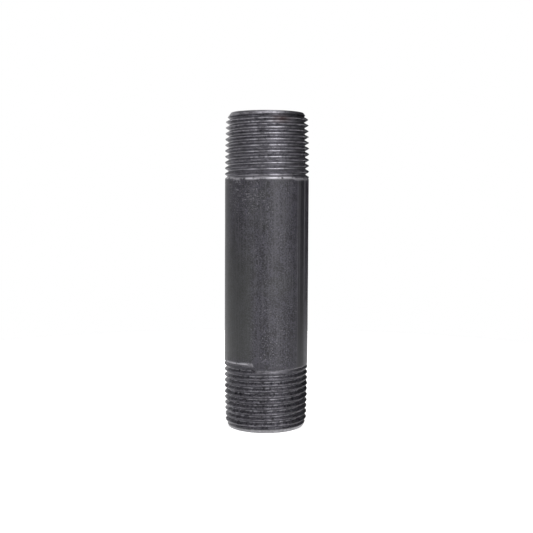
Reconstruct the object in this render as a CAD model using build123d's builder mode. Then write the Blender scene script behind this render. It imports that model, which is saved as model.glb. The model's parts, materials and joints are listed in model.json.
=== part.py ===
from build123d import *

import os
from math import atan, cos, degrees, radians, sin, tan

# A 3/4-14 NPT threaded pipe nipple: one length of schedule 40 steel pipe, threaded at both ends.
# Units are millimetres and degrees. +Z runs up the pipe's axis, from the origin at the centre of the lower
# end face.
# A "distance" is measured from an end face, along the axis, towards the middle of the pipe.

# Pipe
LENGTH = 100.0
OUTER_RADIUS = 26.67 / 2
WALL = 2.87
BORE_RADIUS = OUTER_RADIUS - WALL
REAM = 0.4  # width and depth of the reamed bevel at each mouth of the bore

# Longitudinal weld: the trimmed bead that is left along the inside of the bore
WELD_ANGLE = -35.0
BEAD_HEIGHT = 0.18
BEAD_RADIUS = 1.2

# Thread, 3/4-14 NPT
PITCH = 25.4 / 14
TAPER = 1 / 32  # growth of radius with distance
TAPER_ANGLE = degrees(atan(TAPER))
END_PITCH_RADIUS = 24.579 / 2
THREAD_HEIGHT = 0.8 * PITCH
FLANK_ANGLE = 30.0
ROOT_FLAT = 0.038 * PITCH
END_ROOT_RADIUS = END_PITCH_RADIUS - THREAD_HEIGHT / 2
END_CREST_RADIUS = END_PITCH_RADIUS + THREAD_HEIGHT / 2

# Run-out: the groove is full to the first distance, then the die's throat lifts its bottom to the surface
FULL_THREAD = 19.5
THREADED_LENGTH = 22.0
THROAT_ANGLE = 25.0
LAND_RELIEF = 0.02  # how much the die shaves off the widest crests, fading out at THREADED_LENGTH

# Bevel at each end: the radius where it meets the end face, and its angle to the axis
TOP_FACE_RADIUS = 11.5
BOTTOM_FACE_RADIUS = 11.8
BEVEL_ANGLE = 35.0

# Distance of a thread crest above the +X side of the pipe
TOP_CREST = 0.2
BOTTOM_CREST = 1.1

# The groove is cut one turn at a time
TURNS = 13
CUTTER_CLEARANCE = 0.03  # over the crest
CUTTER_START_ANGLE = 37.0  # the side of the pipe where each turn starts
JOIN = 0.6  # how far the barrel reaches under the full thread, where the threaded end is joined to it


def throat(distance):
    """Radius of the cone that the die's throat leaves; it reaches the plain surface at THREADED_LENGTH."""
    return OUTER_RADIUS - (THREADED_LENGTH - distance) * tan(radians(THROAT_ANGLE))


def groove_turn(start):
    """A cutter for one turn of the helical V groove, which starts at the given distance from the end."""
    start_radius = END_ROOT_RADIUS + start * TAPER
    depth = THREAD_HEIGHT + CUTTER_CLEARANCE
    half_root = ROOT_FLAT / 2
    half_mouth = half_root + depth * tan(radians(FLANK_ANGLE))
    with BuildPart() as turn:
        with BuildLine() as helix:
            Helix(PITCH, PITCH, start_radius, center=(0, 0, start), cone_angle=TAPER_ANGLE)
        with BuildSketch(Plane.XZ):
            with BuildLine():
                Polyline(
                    (start_radius, start - half_root),
                    (start_radius, start + half_root),
                    (start_radius + depth, start + half_mouth),
                    (start_radius + depth, start - half_mouth),
                    close=True,
                )
            make_face()
        sweep(path=helix.line, is_frenet=True)
    return turn.part.rotate(Axis.Z, CUTTER_START_ANGLE)


def threaded_end(face_radius, crest_distance):
    """One solid threaded end, standing on its end face, as far as the distance THREADED_LENGTH."""
    bevel = (END_CREST_RADIUS - face_radius) / (tan(radians(BEVEL_ANGLE)) - TAPER)
    widest_crest = OUTER_RADIUS - LAND_RELIEF
    full_width = (widest_crest - END_CREST_RADIUS) / TAPER
    entry = (crest_distance + PITCH / 2 + PITCH * CUTTER_START_ANGLE / 360) % PITCH - PITCH
    groove = [groove_turn(entry + turn * PITCH) for turn in range(TURNS)]
    with BuildPart() as end:
        with BuildSketch(Plane.XZ):
            with BuildLine():
                Polyline(
                    (0, 0),
                    (face_radius, 0),
                    (END_CREST_RADIUS + bevel * TAPER, bevel),
                    (widest_crest, full_width),
                    (OUTER_RADIUS, THREADED_LENGTH),
                    (0, THREADED_LENGTH),
                    close=True,
                )
            make_face()
        revolve(axis=Axis.Z)
        for turn in groove:
            add(turn, mode=Mode.SUBTRACT)
    return end.part


lower_end = threaded_end(BOTTOM_FACE_RADIUS, BOTTOM_CREST)
upper_end = threaded_end(TOP_FACE_RADIUS, TOP_CREST).rotate(Axis.X, 180).translate((0, 0, LENGTH))

with BuildPart() as pipe_nipple:
    # The barrel, with the throat's cone at both ends
    low = FULL_THREAD - JOIN
    with BuildSketch(Plane.XZ):
        with BuildLine():
            Polyline(
                (0, low),
                (throat(low), low),
                (OUTER_RADIUS, THREADED_LENGTH),
                (OUTER_RADIUS, LENGTH - THREADED_LENGTH),
                (throat(low), LENGTH - low),
                (0, LENGTH - low),
                close=True,
            )
        make_face()
    revolve(axis=Axis.Z)
    add(lower_end)
    add(upper_end)

    # The bore, less the weld bead that stands in it
    bead_centre = BORE_RADIUS + BEAD_RADIUS - BEAD_HEIGHT
    with BuildSketch(Plane.XY):
        Circle(BORE_RADIUS)
        with Locations((bead_centre * cos(radians(WELD_ANGLE)), bead_centre * sin(radians(WELD_ANGLE)))):
            Circle(BEAD_RADIUS, mode=Mode.SUBTRACT)
    extrude(amount=LENGTH, mode=Mode.SUBTRACT)

    # The reamed bevel at each mouth of the bore, cut past the bead
    reach = REAM + 2 * BEAD_HEIGHT
    for mouth, inward in ((0, 1), (LENGTH, -1)):
        with BuildSketch(Plane.XZ):
            with BuildLine():
                Polyline(
                    (0, mouth),
                    (BORE_RADIUS + REAM, mouth),
                    (BORE_RADIUS + REAM - reach, mouth + inward * reach),
                    (0, mouth + inward * reach),
                    close=True,
                )
            make_face()
        revolve(axis=Axis.Z, mode=Mode.SUBTRACT)

pipe_nipple.part.label = "pipe_nipple"
os.makedirs("parts", exist_ok=True)
export_step(pipe_nipple.part, "parts/pipe_nipple.step")
print("pipe_nipple", round(pipe_nipple.part.volume), "mm3, valid", pipe_nipple.part.is_valid)
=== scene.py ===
import json
from math import cos, pi, radians, sin, tan

import bpy
import numpy as np
from mathutils import Euler, Matrix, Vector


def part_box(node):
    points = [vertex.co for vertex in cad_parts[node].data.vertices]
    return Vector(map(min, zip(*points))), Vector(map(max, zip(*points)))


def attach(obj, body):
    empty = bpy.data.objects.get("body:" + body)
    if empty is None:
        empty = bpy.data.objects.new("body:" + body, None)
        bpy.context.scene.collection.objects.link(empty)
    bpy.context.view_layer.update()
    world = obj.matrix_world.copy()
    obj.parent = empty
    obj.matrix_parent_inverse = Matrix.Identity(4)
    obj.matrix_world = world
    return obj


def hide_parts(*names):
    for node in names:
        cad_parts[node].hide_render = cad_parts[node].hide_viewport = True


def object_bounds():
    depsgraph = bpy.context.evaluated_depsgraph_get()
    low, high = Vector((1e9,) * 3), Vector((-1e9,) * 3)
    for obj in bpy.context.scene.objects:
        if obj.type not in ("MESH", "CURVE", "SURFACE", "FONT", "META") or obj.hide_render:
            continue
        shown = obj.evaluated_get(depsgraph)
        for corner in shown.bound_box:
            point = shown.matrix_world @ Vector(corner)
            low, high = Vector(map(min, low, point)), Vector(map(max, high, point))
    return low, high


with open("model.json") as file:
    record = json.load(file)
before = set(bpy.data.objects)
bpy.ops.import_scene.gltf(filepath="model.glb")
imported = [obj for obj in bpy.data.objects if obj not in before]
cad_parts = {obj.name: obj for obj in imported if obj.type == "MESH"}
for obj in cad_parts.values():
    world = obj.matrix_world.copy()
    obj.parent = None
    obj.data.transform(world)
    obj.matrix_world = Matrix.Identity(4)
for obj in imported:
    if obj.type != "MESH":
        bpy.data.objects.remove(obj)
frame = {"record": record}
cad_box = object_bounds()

# The looks of a threaded pipe nipple: black steel pipe with a tapered thread cut on each end.
# Everything is in metres. +Z runs up the pipe's axis and -Y is the front.
# Each threaded end is modelled in its own frame, standing on its end face. There a "distance" is measured
# up from the end face, and the upper end is turned over about X into its place.

NODE = "pipe_nipple"
MM = 0.001
mounts = {mount["name"]: mount for mount in frame["record"]["mounts"]}
low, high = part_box(NODE)
LENGTH = high.z - low.z
OUTER = (high.x - low.x) / 2
BORE = mounts["bore"]["dims"]["r_mm"] * MM

# Thread, 3/4-14 NPT
PITCH = 25.4 * MM / 14
TAPER = 1 / 32
FLANK = radians(30)
ROOT_FLAT = 0.038 * PITCH
THREAD_HEIGHT = 0.8 * PITCH
END_PITCH_RADIUS = 24.579 * MM / 2
END_ROOT = END_PITCH_RADIUS - THREAD_HEIGHT / 2
END_CREST = END_PITCH_RADIUS + THREAD_HEIGHT / 2

THROAT_ROUND = 0.1 * MM  # rounding between a groove and the cone that the die's mouth cuts
STEP_FALL = 0.02  # of a turn, in which the edge of the run-out falls back at a chaser's stop
LEAST_CREST_ROUND = 0.03 * MM
NICK_DEPTH = 0.16 * MM
FULL_TEAR = 0.08 * MM  # depth of tearing at which the metal looks fully torn

# Ends
REAM = 0.4 * MM
EDGE_BREAK = 0.05 * MM
BEVEL_ROUND = 0.05 * MM
RIM_HEIGHT = 0.02 * MM
MOUTH_HEIGHT = 0.76 * MM  # from here on the bore is plain
ZONE_END = 23.0 * MM  # and from here on the outside is plain pipe

# The pipe's own surface
WAVE_DEPTH = 0.006 * MM

# Weld seam: a scarfed strip outside and a trimmed bead inside
WELD_ANGLE = radians(-35)
SCARF_HALF_WIDTH = radians(8)
SCARF_DEPTH = 0.05 * MM
BEAD_HEIGHT = 0.18 * MM
BEAD_RADIUS = 1.2 * MM

COLUMNS = 256  # around the pipe
BARREL_RINGS = 36
BORE_RINGS = 10
MERGE = 0.05 * MM  # rows nearer than this to the ring at their end, or past it, become part of it
SHARP_ANGLE = radians(50)
FLOOR_RADIUS = 0.22
# Rows on each side of a groove, as distances from its centre line. One more runs along each crest
GROOVE_ROWS = [offset * MM for offset in (0.07, 0.22, 0.52, 0.75, 0.85)]

angles = np.arange(COLUMNS) * 2 * pi / COLUMNS


# ---------------------------------------------------------------- fields


def smooth_min(a, b, radius):
    """The lesser of a and b, with the corner between them rounded off."""
    blend = np.clip(0.5 + 0.5 * (b - a) / radius, 0, 1)
    return b * (1 - blend) + a * blend - radius * blend * (1 - blend)


def smooth_max(a, b, radius):
    """The greater of a and b, rounded off likewise."""
    return -smooth_min(-a, -b, radius)


def fade(x, start, stop):
    """Eases from 0 at start to 1 at stop."""
    t = np.clip((x - start) / (stop - start), 0, 1)
    return t * t * (3 - 2 * t)


def ripple(seed, around, along, waves=28):
    """A seeded random field of unit spread that is seamless round the pipe.

    around is the most waves round the pipe, and along the most waves per metre of its length."""
    rng = np.random.default_rng(seed)
    counts = rng.integers(-around, around + 1, waves)
    rates = rng.uniform(-along, along, waves) * 2 * pi
    phases = rng.uniform(0, 2 * pi, waves)

    def field(angle, height):
        total = sum(np.cos(n * angle + w * height + p) for n, w, p in zip(counts, rates, phases))
        return total / np.sqrt(waves / 2)

    return field


# ---------------------------------------------------------------- shape


class End:
    """What differs between the two threaded ends."""

    def __init__(
        self,
        turned_over,
        face_radius,
        bevel,
        crest,
        reach,
        throat,
        chasers,
        stop,
        crest_loss,
        crest_round,
        root_round,
        tearing,
        shine,
        burnish,
        seed,
    ):
        self.turned_over = turned_over
        self.face_radius = face_radius
        self.bevel = bevel  # angle of the bevel from the axis
        self.crest = crest  # distance of a crest at angle 0
        self.reach = reach  # distance at which the longest cut runs out
        self.throat = throat  # angle at which the die's mouth lifts the groove back to the surface
        self.chasers = chasers  # cutting edges of the die, each of which left its own step at the run-out
        self.stop = stop  # angle where one of them stopped
        self.crest_loss = crest_loss  # how far the crests are worn down
        self.crest_round = crest_round
        self.root_round = root_round
        self.tearing = tearing  # depth of the torn places in the grooves
        self.shine = shine  # how bare the bevel and the rim of the end face are
        self.burnish = burnish  # how wide the pipe is rubbed bright along the edge of the run-out
        self.wear = ripple(seed, around=30, along=350)
        self.nicks = ripple(seed + 1, around=60, along=900, waves=60)
        self.tears = ripple(seed + 2, around=75, along=600, waves=60)
        self.patches = ripple(seed + 3, around=5, along=120)

    def along_pipe(self, angle, distance):
        """The same point's angle and height in the pipe's frame."""
        if self.turned_over:
            return -angle, LENGTH - distance
        return angle, distance


TOP = End(
    turned_over=True,
    face_radius=11.5 * MM,
    bevel=radians(35),
    crest=0.2 * MM,
    reach=21.0 * MM,
    throat=radians(48),
    chasers=4,
    stop=radians(54),
    crest_loss=0.0,
    crest_round=0.10 * MM,
    root_round=0.35 * MM,
    tearing=0.035 * MM,
    shine=0.1,
    burnish=0.28 * MM,
    seed=11,
)
BOTTOM = End(
    turned_over=False,
    face_radius=12.05 * MM,
    bevel=radians(23),
    crest=1.1 * MM,
    reach=21.65 * MM,
    throat=radians(50),
    chasers=1,
    stop=radians(257),
    crest_loss=0.01 * MM,
    crest_round=0.27 * MM,
    root_round=0.6 * MM,
    tearing=0.10 * MM,
    shine=1.0,
    burnish=0.35 * MM,
    seed=23,
)

waviness = ripple(seed=5, around=9, along=60)


def off_bearing(angle, bearing):
    """Angle from a bearing, which is measured from the front towards the right in degrees."""
    return (angle - radians(bearing - 90) + pi) % (2 * pi) - pi


def off_weld(angle):
    """Angle from the weld."""
    return (angle - WELD_ANGLE + pi) % (2 * pi) - pi


def skin_radius(angle, height):
    """The pipe's own rolled surface, with the scarfed strip over its weld."""
    aside = np.abs(off_weld(angle))
    scarf = SCARF_DEPTH * (1 - fade(aside, SCARF_HALF_WIDTH * 0.8, SCARF_HALF_WIDTH))
    rolled = WAVE_DEPTH * np.clip(1.6 + waviness(angle, height), 0, None)
    return OUTER - rolled - scarf


def from_groove(end, angle, distance):
    """Distance along the axis from the centre line of the nearest groove."""
    turn = (distance - end.crest) / PITCH - angle / (2 * pi)
    return np.abs(turn - np.floor(turn) - 0.5) * PITCH


def past_stop(end, angle):
    """How far round from one chaser's stop to the next, from 0 to 1."""
    return ((angle - end.stop) * end.chasers / (2 * pi)) % 1


def run_out(end, angle):
    """Distance at which the cut ends. Each chaser's last tooth follows the helix until it stops."""
    past = past_stop(end, angle)
    step = past * (1 - fade(past, 1 - STEP_FALL * end.chasers, 1))
    return end.reach - PITCH / end.chasers * (1 - step)


def throat_radius(end, angle, distance):
    """The cone at the run-out, cut by the die's mouth."""
    return OUTER - (run_out(end, angle) - distance) * tan(end.throat)


def bevel_radius(end, distance):
    """The bevel's cone."""
    return end.face_radius + distance * tan(end.bevel)


def thread_radius(end, angle, distance):
    """The threaded end's outer surface, without the bevel."""
    aside = from_groove(end, angle, distance)
    root = END_ROOT + TAPER * distance
    groove = smooth_max(root + (aside - ROOT_FLAT / 2) / tan(FLANK), root, end.root_round)
    # Torn metal, in patches, off the very bottom of the groove and away from the end face
    torn = end.tearing * np.clip(end.patches(angle, distance) + 0.6, 0, 2) * end.tears(angle, distance)
    torn = torn * fade(distance, 0.8 * MM, 2.5 * MM)
    groove = groove + torn * fade(aside, 0, 0.3 * MM)
    cut = smooth_max(groove, throat_radius(end, angle, distance), THROAT_ROUND)

    # The crests are worn, nicked and rounded, but not in the run-out
    inside_run_out = 1 - fade(distance, end.reach - 3 * MM, end.reach - 1.2 * MM)
    nick = NICK_DEPTH * np.clip(end.nicks(angle, distance) - 1.7, 0, 1)
    wear = end.crest_loss * (1 + 0.5 * end.wear(angle, distance)).clip(0, 2)
    crest = np.minimum(END_CREST + TAPER * distance, skin_radius(*end.along_pipe(angle, distance)))
    crest = crest - (nick + wear) * inside_run_out
    return smooth_min(cut, crest, end.crest_round * inside_run_out + LEAST_CREST_ROUND)


def end_radius(end, angle, distance):
    """The end's whole outer surface."""
    return smooth_min(thread_radius(end, angle, distance), bevel_radius(end, distance), BEVEL_ROUND)


def bore_radius(angle):
    """The bore with its weld bead: a round ridge that stands BEAD_HEIGHT into it."""
    centre = BORE + BEAD_RADIUS - BEAD_HEIGHT
    aside = centre * np.sin(angle - WELD_ANGLE)
    on_side = np.cos(angle - WELD_ANGLE) > 0
    rise = np.sqrt(np.clip(BEAD_RADIUS**2 - aside**2, 0, None))
    bead = np.where(on_side & (rise > 0), centre * np.cos(angle - WELD_ANGLE) - rise, BORE)
    return np.minimum(BORE, bead)


def snap(rows, difference):
    """Moves the nearer of two rows onto each place between them where a difference changes sign."""
    before = difference[:-1]
    after = difference[1:]
    crossed = before * after < 0
    share = np.where(crossed, before / np.where(crossed, before - after, 1), 0)
    place = rows[:-1] + share * (rows[1:] - rows[:-1])
    snapped = rows.copy()
    nearer_first = crossed & (share < 0.5)
    nearer_second = crossed & (share >= 0.5)
    snapped[:-1][nearer_first] = place[nearer_first]
    snapped[1:][nearer_second] = place[nearer_second]
    return snapped


def helical_rows(end):
    """Distances of the mesh's rows at each column, and how many rows there are per turn.

    The rows follow the groove. Those nearest to the bevel's edge and to the run-out's edge lie on them."""
    across = [-offset for offset in reversed(GROOVE_ROWS)] + GROOVE_ROWS + [PITCH / 2]
    first_centre = end.crest - 2.5 * PITCH
    turns = int((ZONE_END - first_centre) / PITCH) + 2
    centres = [first_centre + turn * PITCH for turn in range(turns)]
    at_zero = np.array([centre + offset for centre in centres for offset in across])
    rows = at_zero[:, None] + PITCH * angles[None, :] / (2 * pi)
    angle = np.broadcast_to(angles, rows.shape)
    for edge in (
        thread_radius(end, angle, rows) - bevel_radius(end, rows),
        throat_radius(end, angle, rows) - OUTER,
    ):
        rows = snap(rows, edge)
    return rows, len(across)


# ---------------------------------------------------------------- masks


def near_bearing(angle, bearing, start, stop):
    """1 up to start degrees away from a bearing, easing to 0 at stop degrees away."""
    return 1 - fade(np.abs(off_bearing(angle, bearing)), radians(start), radians(stop))


def left_shade_mask(angle, height):
    """Painted shade: a darker, greener band left of the front, from the lower thread up, fading out above
    the middle.
    """
    upward = fade(height, 21 * MM, 24 * MM) * (1 - fade(height, 44 * MM, 70 * MM))
    return near_bearing(angle, bearing=-46, start=20, stop=32) * upward


def scratch_mask(angle, height):
    """Where the scale is scratched: under the upper thread, left of the front."""
    return near_bearing(angle, bearing=-34, start=20, stop=40) * fade(height, 64 * MM, 74 * MM)


def scuff_and_glint_mask(angle, height):
    """Where the flecks crowd: where the scale is scratched, and low down right of the front, where they
    are painted glints in the highlight.
    """
    low_down = 1 - fade(height, 26 * MM, 46 * MM)
    # painted glints: specks crowded into the highlight low down right of the front
    lower = near_bearing(angle, bearing=12, start=14, stop=28) * low_down
    return np.maximum(scratch_mask(angle, height), 0.7 * lower)


def scarf_line_and_highlight_mask(angle, height):
    """Pale lines along the weld: scraping marks of the scarfing tool, and at the strip's edges painted
    highlights too. Fainter towards the lower end.
    """
    half_width = radians(1.4)
    lines = [(-8.0, 0.6), (-4.0, 0.5), (7.8, 1.0)]  # angle from the weld in degrees, and strength
    across = sum(
        strength * np.clip(1 - np.abs(off_weld(angle) - radians(place)) / half_width, 0, 1)
        for place, strength in lines
    )
    return across * (0.35 + 0.65 * fade(height, 30 * MM, 60 * MM))


def strip_mask(angle, height):
    """The darker scarfed strip itself, darkest towards the lower end."""
    aside = np.abs(off_weld(angle))
    across = 1 - fade(aside, SCARF_HALF_WIDTH * 0.8, SCARF_HALF_WIDTH * 1.2)
    return across * (1 - 0.3 * fade(height, 30 * MM, 60 * MM))


def skin_masks(angle, height):
    """The masks of the pipe's own surface."""
    return {
        "smooth": left_shade_mask(angle, height),
        "scuffed": scuff_and_glint_mask(angle, height),
        "scratched": scratch_mask(angle, height),
        "weld": scarf_line_and_highlight_mask(angle, height),
        "strip": strip_mask(angle, height),
    }


def rust_mask(angle, height):
    """A rusty smear in the first groove below the top end, to the right of the front."""
    half_width = radians(17)
    half_height = 1.1 * MM
    depth = 2.6 * MM
    aside = np.abs(off_bearing(angle, bearing=22)) / half_width
    above = np.abs(height - LENGTH + depth) / half_height
    return np.clip(1.2 - aside, 0, 1) * np.clip(1.3 - above, 0, 1)


def thread_masks(end, angle, rows, radius):
    """What the surface is at each vertex of a threaded end."""
    along = end.along_pipe(angle, rows)
    aside = from_groove(end, angle, rows)
    in_thread = 1 - fade(rows, end.reach - 1.2 * MM, end.reach - 0.4 * MM)
    cut = fade(skin_radius(*along) - radius, 0.01 * MM, 0.08 * MM)
    on_bevel = fade(thread_radius(end, angle, rows) - radius, 0.0, 0.06 * MM)
    near_face = 1 - fade(rows, 1.0 * MM, 1.35 * MM)
    past_edge = rows - run_out(end, angle)
    if end.chasers == 1:
        # The cut of a single chaser shines only where it nears its stop
        past = past_stop(end, angle)
        fresh = past**4 * (1 - fade(past, 0.97, 1.0))
        rubbed = fresh * fade(rows, end.reach - 0.9 * MM, end.reach - 0.5 * MM)
    else:
        fresh = 0.9
        rubbed = fresh

    masks = skin_masks(*along)
    masks["cut"] = cut
    # the crests and the roots, which the material paints with highlights and reflections
    masks["crest"] = fade(aside, PITCH / 2 - 0.3 * MM, PITCH / 2 - 0.05 * MM) * in_thread
    masks["root"] = (1 - fade(aside, 0.1 * MM, 0.3 * MM)) * in_thread * fade(rows, 1.4 * MM, 2.4 * MM)
    masks["nick"] = fade(end.nicks(angle, rows), 1.5, 2.2) * in_thread
    masks["land"] = cut * np.exp(-(((past_edge + 0.35 * MM) / (0.45 * MM)) ** 2)) * (0.6 + 0.4 * fresh)
    masks["burnished"] = rubbed * np.exp(-((past_edge / end.burnish) ** 2))
    masks["torn"] = np.full(rows.shape, end.tearing / FULL_TEAR)
    masks["rust"] = rust_mask(*along) * cut
    masks["bare"] = end.shine * np.maximum(0.6 * on_bevel, near_face)
    return masks


# ---------------------------------------------------------------- mesh


class Shell:
    """Collects the vertices and faces of one closed mesh, with what each vertex's surface is."""

    MASKS = (
        "cut",  # machined, not the pipe's own surface
        "crest",
        "root",
        "nick",  # dents in the crests
        "land",  # fresh metal at the run-out
        "burnished",  # rubbed bright along the edge of the run-out
        "torn",  # how torn the whole thread is
        "rust",
        "bare",  # paler metal of bevels and end faces
        "inside",  # the bore
        # painted shade, darker and greener, on the left side of the barrel
        "smooth",
        "scuffed",
        "scratched",
        # scraping marks along the weld, with painted highlights at the edges of the scarfed strip
        "weld",
        "strip",
    )

    def __init__(self):
        self.points = []
        self.masks = {name: [] for name in self.MASKS}
        self.faces = []

    def add(self, position, **mask):
        """Adds one vertex and returns its number. A mask that is not given is 0."""
        self.points.append(position)
        for name, values in self.masks.items():
            values.append(mask.get(name, 0.0))
        return len(self.points) - 1

    def ring(self, radius, height, **mask):
        """A ring of vertices round the axis, all at one height."""
        radius = np.broadcast_to(radius, angles.shape)
        mask = {name: np.broadcast_to(values, angles.shape) for name, values in mask.items()}
        numbers = []
        for i, angle in enumerate(angles):
            position = (radius[i] * cos(angle), radius[i] * sin(angle), height)
            numbers.append(self.add(position, **{name: values[i] for name, values in mask.items()}))
        return numbers

    def strip(self, first, second):
        """Faces between two rings. They face outward when second is above first on an outer surface."""
        for i in range(COLUMNS):
            j = (i + 1) % COLUMNS
            self.faces.append((first[i], first[j], second[j], second[i]))

    def place(self, start, matrix):
        """Moves the vertices from number start on."""
        for i in range(start, len(self.points)):
            self.points[i] = tuple(matrix @ Matrix.Translation(self.points[i]).translation)


def add_thread(shell, end, rim, last):
    """Adds the threaded surface between the rim ring and the last ring."""
    rows, per_turn = helical_rows(end)
    angle = np.broadcast_to(angles, rows.shape)
    radius = end_radius(end, angle, rows)
    masks = thread_masks(end, angle, rows, radius)
    count = len(rows)
    number = np.empty(rows.shape, int)
    for column in range(COLUMNS):
        for row in range(count):
            distance = rows[row, column]
            if distance <= MERGE:
                number[row, column] = rim[column]
            elif distance >= ZONE_END - MERGE:
                number[row, column] = last[column]
            else:
                r = radius[row, column]
                number[row, column] = shell.add(
                    (r * cos(angles[column]), r * sin(angles[column]), distance),
                    **{name: values[row, column] for name, values in masks.items()},
                )
    for column in range(COLUMNS):
        beside = (column + 1) % COLUMNS
        shift = per_turn if beside == 0 else 0  # past the seam the helix is one turn further on
        for row in range(-shift, count - 1):
            corners = [
                number[max(row, 0), column],
                number[min(max(row + shift, 0), count - 1), beside],
                number[min(max(row + shift + 1, 0), count - 1), beside],
                number[max(row + 1, 0), column],
            ]
            corners = list(dict.fromkeys(corners))
            if len(corners) > 2:
                shell.faces.append(tuple(int(c) for c in corners))


def build_end(shell, end):
    """Adds one end, from the bore's mouth round to the plain pipe. Returns its two open rings."""
    start = len(shell.points)
    rim_radius = end_radius(end, angles, 0.0)
    mouth = shell.ring(bore_radius(angles), MOUTH_HEIGHT, inside=1.0)
    rings = [
        mouth,
        shell.ring(BORE, REAM, inside=0.5, bare=0.6),
        shell.ring(BORE + REAM - EDGE_BREAK, EDGE_BREAK, bare=1.0),
        shell.ring(BORE + REAM + EDGE_BREAK, 0.0, bare=1.0),
        shell.ring(rim_radius - EDGE_BREAK, 0.0, bare=1.0),
        shell.ring(rim_radius, RIM_HEIGHT, bare=end.shine, cut=1.0),
    ]
    for inner, outer in zip(rings, rings[1:]):
        shell.strip(inner, outer)
    along = end.along_pipe(angles, ZONE_END)
    last = shell.ring(skin_radius(*along), ZONE_END, **skin_masks(*along))
    add_thread(shell, end, rings[-1], last)
    if end.turned_over:
        shell.place(start, Matrix.Translation((0, 0, LENGTH)) @ Matrix.Rotation(pi, 4, "X"))
        order = [-i % COLUMNS for i in range(COLUMNS)]
        mouth = [mouth[i] for i in order]
        last = [last[i] for i in order]
    return mouth, last


def build_pipe():
    """The whole nipple as one closed mesh."""
    shell = Shell()
    lower_mouth, lower_last = build_end(shell, BOTTOM)
    upper_mouth, upper_last = build_end(shell, TOP)
    below = lower_last
    for height in np.linspace(ZONE_END, LENGTH - ZONE_END, BARREL_RINGS)[1:-1]:
        above = shell.ring(skin_radius(angles, height), height, **skin_masks(angles, height))
        shell.strip(below, above)
        below = above
    shell.strip(below, upper_last)

    above = upper_mouth
    for height in np.linspace(LENGTH - MOUTH_HEIGHT, MOUTH_HEIGHT, BORE_RINGS)[1:-1]:
        under = shell.ring(bore_radius(angles), height, inside=1.0)
        shell.strip(above, under)
        above = under
    shell.strip(above, lower_mouth)

    mesh = bpy.data.meshes.new("pipe_nipple_body")
    mesh.from_pydata(shell.points, [], shell.faces)
    mesh.validate()
    for name, values in shell.masks.items():
        mesh.attributes.new(name, "FLOAT", "POINT").data.foreach_set("value", values)
    mesh.polygons.foreach_set("use_smooth", [True] * len(mesh.polygons))
    mesh.set_sharp_from_angle(angle=SHARP_ANGLE)
    # The rims of the end faces are crisp too
    tolerance = 0.01 * MM
    heights = np.array([point[2] for point in shell.points])
    at_end = np.minimum(heights, LENGTH - heights) <= EDGE_BREAK + tolerance
    for edge in mesh.edges:
        if all(at_end[number] for number in edge.vertices):
            edge.use_edge_sharp = True
    mesh.update()
    body = bpy.data.objects.new("pipe_nipple_body", mesh)
    bpy.context.collection.objects.link(body)
    return body


# ---------------------------------------------------------------- materials

SCALE_DARK = (0.0056, 0.0051, 0.0072, 1)
SCALE_LIGHT = (0.0385, 0.036, 0.048, 1)
SCALE_DRAWN = (0.046, 0.044, 0.052, 1)
SCALE_SHADE_AND_PATCHES = (0.024, 0.0255, 0.0235, 1)
SCALE_FLECK_AND_GLINT = (0.17, 0.165, 0.185, 1)
SCARF_STRIP = (0.006, 0.0056, 0.0074, 1)
SCARF_LINE_AND_HIGHLIGHT = (0.17, 0.166, 0.18, 1)
CUT_DARK = (0.036, 0.034, 0.042, 1)
CUT_LIGHT = (0.245, 0.237, 0.27, 1)
CREST_HIGHLIGHT = (0.44, 0.43, 0.463, 1)
ROOT_REFLECTION = (0.62, 0.61, 0.65, 1)
CUT_FRESH = (0.42, 0.41, 0.44, 1)
CUT_PIT_AND_DENT_SHADE = (0.008, 0.008, 0.009, 1)
CUT_TORN = (0.02, 0.019, 0.022, 1)
RUST = (0.10, 0.04, 0.03, 1)
BARE_DARK = (0.14, 0.138, 0.146, 1)
BARE_LIGHT = (0.27, 0.266, 0.28, 1)
BORE_DARK = (0.016, 0.015, 0.016, 1)
BORE_LIGHT = (0.05, 0.045, 0.042, 1)
WHITE = (1, 1, 1, 1)


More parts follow.
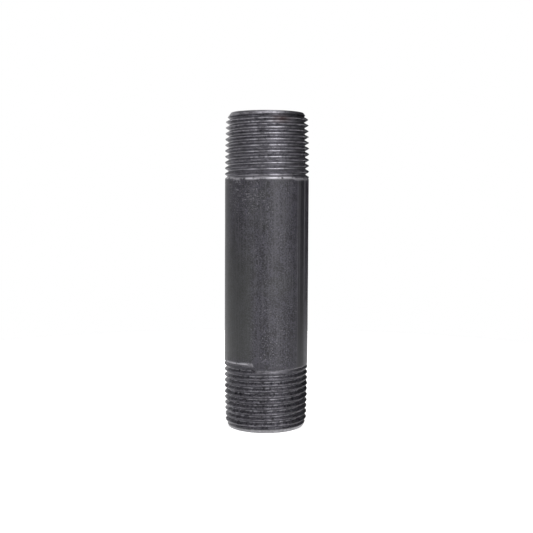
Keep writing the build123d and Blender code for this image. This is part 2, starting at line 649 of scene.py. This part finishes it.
class Shader:
    """Builds a material's node tree, so that each material below can be read from top to bottom."""

    def __init__(self, name):
        self.material = bpy.data.materials.new(name)
        self.material.use_nodes = True
        self.tree = self.material.node_tree
        self.surface = self.tree.nodes["Principled BSDF"]
        self.place = self.node("ShaderNodeTexCoord").outputs["Object"]

    def node(self, kind, inputs=None, **settings):
        """Adds a node with its inputs and settings."""
        made = self.tree.nodes.new(kind)
        for name, value in settings.items():
            setattr(made, name, value)
        for name, value in (inputs or {}).items():
            self.feed(made.inputs[name], value)
        return made

    def feed(self, socket, value):
        """Links another node's output to a socket, or sets the socket to a constant."""
        if isinstance(value, bpy.types.NodeSocket):
            self.tree.links.new(value, socket)
        else:
            socket.default_value = value

    def mask(self, name):
        """One of the mesh's masks."""
        return self.node("ShaderNodeAttribute", attribute_name=name).outputs["Fac"]

    def noise(self, size, detail=3.0, rough=0.55, stretch=(1, 1, 1), shift=0.0):
        """Noise with features about size metres across, and longer along axes with a small stretch."""
        spread = self.node(
            "ShaderNodeMapping",
            {"Vector": self.place, "Scale": stretch, "Location": (shift, shift, shift)},
        )
        made = self.node(
            "ShaderNodeTexNoise",
            {"Vector": spread.outputs["Vector"], "Scale": 1 / size, "Detail": detail, "Roughness": rough},
        )
        return made.outputs["Fac"]

    def level(self, value, start, stop, low=0.0, high=1.0):
        """Maps start to stop onto low to high, with soft ends."""
        made = self.node(
            "ShaderNodeMapRange",
            {"Value": value, "From Min": start, "From Max": stop, "To Min": low, "To Max": high},
            interpolation_type="SMOOTHSTEP",
        )
        return made.outputs["Result"]

    def math(self, operation, a, b):
        """Arithmetic on two values."""
        made = self.node("ShaderNodeMath", operation=operation)
        self.feed(made.inputs[0], a)
        self.feed(made.inputs[1], b)
        return made.outputs["Value"]

    def times(self, a, b):
        """The product of two values."""
        return self.math("MULTIPLY", a, b)

    def mix(self, share, a, b):
        """Mixes two colours."""
        made = self.node("ShaderNodeMix", data_type="RGBA")
        self.feed(made.inputs["Factor"], share)
        self.feed(made.inputs["A"], a)
        self.feed(made.inputs["B"], b)
        return made.outputs["Result"]

    def blend(self, share, a, b):
        """Mixes two values."""
        made = self.node("ShaderNodeMix", data_type="FLOAT")
        self.feed(made.inputs["Factor"], share)
        self.feed(made.inputs["A"], a)
        self.feed(made.inputs["B"], b)
        return made.outputs["Result"]

    def bump(self, height, depth, under=None):
        """Relief of a depth in metres, over the relief under it."""
        inputs = {"Height": height, "Distance": depth, "Strength": 1.0}
        if under is not None:
            inputs["Normal"] = under
        return self.node("ShaderNodeBump", inputs).outputs["Normal"]


def mill_scale(shader):
    """The pipe's own surface: its colour, its roughness and its relief."""
    mottle = shader.noise(2.4 * MM, detail=5.0, rough=0.6)
    grain = shader.noise(0.42 * MM, detail=3.0, rough=0.6, shift=0.3)
    drawn = shader.noise(0.55 * MM, detail=3.0, stretch=(1, 1, 0.03), shift=0.7)
    cloud = shader.noise(16 * MM, detail=2.0, shift=1.1)
    speck = shader.noise(0.42 * MM, detail=2.0, rough=0.7, shift=2.3)
    crowd = shader.noise(5 * MM, detail=3.0, shift=3.1)
    stroke = shader.noise(0.7 * MM, detail=2.0, rough=0.7, stretch=(0.25, 0.25, 1.6), shift=5.7)

    # Mottled charcoal with drawn lines along the pipe, darker and greener in random patches and, as
    # painted shade, on the left side of the barrel
    tone = shader.math("ADD", shader.times(mottle, 0.3), shader.times(grain, 0.7))
    colour = shader.mix(shader.level(tone, 0.40, 0.62), SCALE_DARK, SCALE_LIGHT)
    colour = shader.mix(shader.level(drawn, 0.45, 0.7, 0.0, 0.5), colour, SCALE_DRAWN)
    smooth = shader.math("MAXIMUM", shader.mask("smooth"), shader.level(cloud, 0.56, 0.66, 0.0, 0.3))
    colour = shader.mix(shader.times(smooth, 0.6), colour, SCALE_SHADE_AND_PATCHES)

    # Light specks and short scratches where the scale is scuffed, and light specks crowded low down right
    # of the front as painted glints in the highlight
    where = shader.times(shader.level(crowd, 0.4, 0.62, 0.1, 0.55), shader.blend(smooth, 1.0, 0.3))
    where = shader.math("ADD", where, shader.times(shader.mask("scuffed"), 0.6))
    scratch = shader.times(shader.level(stroke, 0.56, 0.72, 0.0, 0.5), shader.mask("scratched"))
    fleck = shader.math("MAXIMUM", shader.level(speck, 0.58, 0.72), scratch)
    colour = shader.mix(shader.times(fleck, where), colour, SCALE_FLECK_AND_GLINT)

    # The scarfed weld: its darker strip, and pale lines that are scraping marks and, at the strip's edges,
    # painted highlights
    colour = shader.mix(shader.times(shader.mask("strip"), 0.95), colour, SCARF_STRIP)
    colour = shader.mix(shader.times(shader.mask("weld"), 0.7), colour, SCARF_LINE_AND_HIGHLIGHT)

    roughness = shader.blend(smooth, shader.level(grain, 0.3, 0.7, 0.40, 0.52), 0.44)
    relief = shader.bump(grain, 0.03 * MM)
    relief = shader.bump(drawn, 0.02 * MM, relief)
    return colour, roughness, relief


def cut_metal(shader):
    """The machined surface: its colour, its roughness and the height of its tool marks."""
    crest = shader.mask("crest")
    root = shader.mask("root")
    torn = shader.mask("torn")
    lines = shader.noise(0.9 * MM, detail=4.0, rough=0.7, stretch=(0.35, 0.35, 3.0), shift=4.0)
    pits = shader.noise(0.45 * MM, detail=3.0, rough=0.6, shift=8.0)
    patch = shader.noise(1.3 * MM, detail=3.0, shift=5.0)

    # Dark grooves with fine lines round the pipe, with painted highlights along the crests and painted
    # reflections in the roots, both broken in patches
    tone = shader.blend(torn, lines, shader.times(shader.math("ADD", lines, pits), 0.5))
    colour = shader.mix(shader.level(tone, 0.36, 0.66), CUT_DARK, CUT_LIGHT)
    highlight_patches = shader.level(patch, 0.38, 0.62, 0.15, 1.0)
    crest_highlight = shader.times(shader.times(crest, highlight_patches), shader.blend(torn, 0.8, 0.42))
    colour = shader.mix(crest_highlight, colour, CREST_HIGHLIGHT)
    # painted reflection of the floor: thin bright lines along the roots, patchy and fainter where the
    # metal is torn
    shine = shader.times(root, shader.blend(torn, 0.95, shader.times(highlight_patches, 0.6)))
    colour = shader.mix(shine, colour, ROOT_REFLECTION)
    colour = shader.mix(shader.times(shader.mask("land"), 0.8), colour, CUT_FRESH)
    colour = shader.mix(shader.times(shader.mask("rust"), 0.45), colour, RUST)
    # dark pits in the metal, and painted shade in the dents of the crests
    pit_and_dent_shade = shader.math("MAXIMUM", shader.mask("nick"), shader.level(pits, 0.34, 0.42, 1.0, 0.0))
    colour = shader.mix(shader.times(pit_and_dent_shade, shader.blend(torn, 0.2, 0.8)), colour, CUT_PIT_AND_DENT_SHADE)
    colour = shader.mix(shader.times(torn, 0.27), colour, CUT_TORN)

    roughness = shader.blend(torn, shader.level(lines, 0.3, 0.7, 0.30, 0.38), 0.42)
    return colour, roughness, tone


def black_steel():
    """Mill scale on the pipe, cut metal on the thread, and paler metal on bevels and end faces."""
    shader = Shader("black_steel")
    surface = shader.surface.inputs
    cut = shader.mask("cut")
    bare = shader.mask("bare")
    scale_colour, scale_roughness, relief = mill_scale(shader)
    cut_colour, cut_roughness, tool_marks = cut_metal(shader)

    streak = shader.level(shader.noise(2.5 * MM, detail=3.0, shift=9.0), 0.36, 0.52)
    burnished = shader.times(shader.mask("burnished"), streak)
    tooled = shader.math("MAXIMUM", cut, burnished)

    face = shader.level(shader.noise(0.7 * MM, detail=4.0, shift=6.0), 0.3, 0.7)
    soot = shader.level(shader.noise(2.4 * MM, detail=5.0, rough=0.6), 0.35, 0.65)
    colour = shader.mix(cut, scale_colour, cut_colour)
    colour = shader.mix(burnished, colour, CUT_FRESH)
    colour = shader.mix(bare, colour, shader.mix(face, BARE_DARK, BARE_LIGHT))
    colour = shader.mix(shader.mask("inside"), colour, shader.mix(soot, BORE_DARK, BORE_LIGHT))
    shader.feed(surface["Base Color"], colour)

    metal = shader.blend(tooled, 0.3, 0.92)
    shader.feed(surface["Metallic"], shader.blend(bare, metal, 0.5))
    shader.feed(surface["Roughness"], shader.blend(tooled, scale_roughness, cut_roughness))
    # Tool marks round the pipe spread the highlights along it
    shader.feed(surface["Anisotropic"], shader.times(tooled, 0.75))
    surface["Anisotropic Rotation"].default_value = 0.25
    marks = shader.node("ShaderNodeTangent", direction_type="RADIAL", axis="Z")
    shader.feed(surface["Tangent"], marks.outputs["Tangent"])
    shader.feed(surface["Normal"], shader.bump(shader.times(tool_marks, cut), 0.06 * MM, relief))
    return shader.material


def studio_floor():
    """A pale table top, lit up so that it fades into the white of the studio."""
    shader = Shader("studio_floor")
    surface = shader.surface.inputs
    surface["Base Color"].default_value = (0.7, 0.7, 0.7, 1)
    surface["Roughness"].default_value = 0.9
    surface["Emission Color"].default_value = WHITE
    surface["Emission Strength"].default_value = 0.75
    return shader.material


# ---------------------------------------------------------------- studio


def add_floor():
    """A round white table top. Beyond its rim the studio is the same white."""
    z = cad_box[0].z
    rim = [(FLOOR_RADIUS * cos(a), FLOOR_RADIUS * sin(a), z) for a in angles]
    mesh = bpy.data.meshes.new("floor")
    mesh.from_pydata(rim, [], [tuple(range(COLUMNS))])
    floor = bpy.data.objects.new("floor", mesh)
    floor.data.materials.append(studio_floor())
    bpy.context.collection.objects.link(floor)


def light_world():
    """Soft light that varies round the pipe, brightest on both sides of the front.

    It is darkest behind on the right. What the camera sees beyond the floor is plain white."""
    world = bpy.data.worlds.new("studio")
    bpy.context.scene.world = world
    world.use_nodes = True
    nodes = world.node_tree.nodes
    links = world.node_tree.links
    background = nodes["Background"]
    direction = nodes.new("ShaderNodeTexCoord")
    round_about = nodes.new("ShaderNodeTexGradient")
    round_about.gradient_type = "RADIAL"
    links.new(direction.outputs["Generated"], round_about.inputs["Vector"])
    ramp = nodes.new("ShaderNodeValToRGB")
    links.new(round_about.outputs["Color"], ramp.inputs["Fac"])
    stops = [  # bearing from the front towards the right in degrees, and brightness
        (-90, 0.48),
        (-62, 0.46),
        (-52, 1.0),
        (-46, 2.2),
        (-32, 2.2),
        (-24, 0.15),
        (-4, 0.15),
        (5, 1.8),
        (12, 3.8),
        (30, 3.8),
        (46, 1.6),
        (66, 0.7),
        (85, 0.2),
        (110, 0.0),
        (150, 0.0),
        (176, 0.1),
        (190, 0.8),
        (215, 0.85),
        (245, 0.55),
        (270, 0.48),
    ]
    elements = ramp.color_ramp.elements
    for bearing, _ in stops[1:-1]:
        elements.new((bearing + 90) / 360)
    for element, (_, value) in zip(elements, stops):
        element.color = (value, value, value, 1)
    seen = nodes.new("ShaderNodeLightPath")
    choose = nodes.new("ShaderNodeMix")
    choose.data_type = "RGBA"
    links.new(seen.outputs["Is Camera Ray"], choose.inputs["Factor"])
    links.new(ramp.outputs["Color"], choose.inputs["A"])
    choose.inputs["B"].default_value = WHITE
    links.new(choose.outputs["Result"], background.inputs["Color"])


def add_light(name, bearing, elevation, away, size, power):
    """A square soft light that faces the middle of the pipe."""
    data = bpy.data.lights.new(name, "AREA")
    data.shape = "SQUARE"
    data.size = size
    data.energy = power
    light = bpy.data.objects.new(name, data)
    turn = Euler((pi / 2 - elevation, 0, bearing)).to_matrix().to_4x4()
    middle = Matrix.Translation((0, 0, LENGTH / 2))
    light.matrix_world = middle @ turn @ Matrix.Translation((0, 0, away))
    bpy.context.collection.objects.link(light)


def add_camera():
    """The camera stands in front of the pipe, above its middle, and looks slightly down."""
    distance = 300.1 * MM
    height = 72.5 * MM
    tilt = radians(4.04)
    roll = radians(0.29)
    data = bpy.data.cameras.new("camera")
    data.sensor_width = 36
    data.lens = 63.35
    data.clip_start = 0.01
    camera = bpy.data.objects.new("camera", data)
    facing = Euler((pi / 2 - tilt, 0, 0)).to_matrix().to_4x4() @ Matrix.Rotation(roll, 4, "Z")
    camera.matrix_world = Matrix.Translation((0, -distance, height)) @ facing
    bpy.context.collection.objects.link(camera)
    bpy.context.scene.camera = camera


body = build_pipe()
body.data.materials.append(black_steel())
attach(body, "root")
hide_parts(NODE)

add_floor()
light_world()
add_light("overhead", bearing=0, elevation=radians(75), away=0.6, size=0.5, power=0.8)
add_camera()
bpy.context.scene.view_settings.view_transform = "Standard"
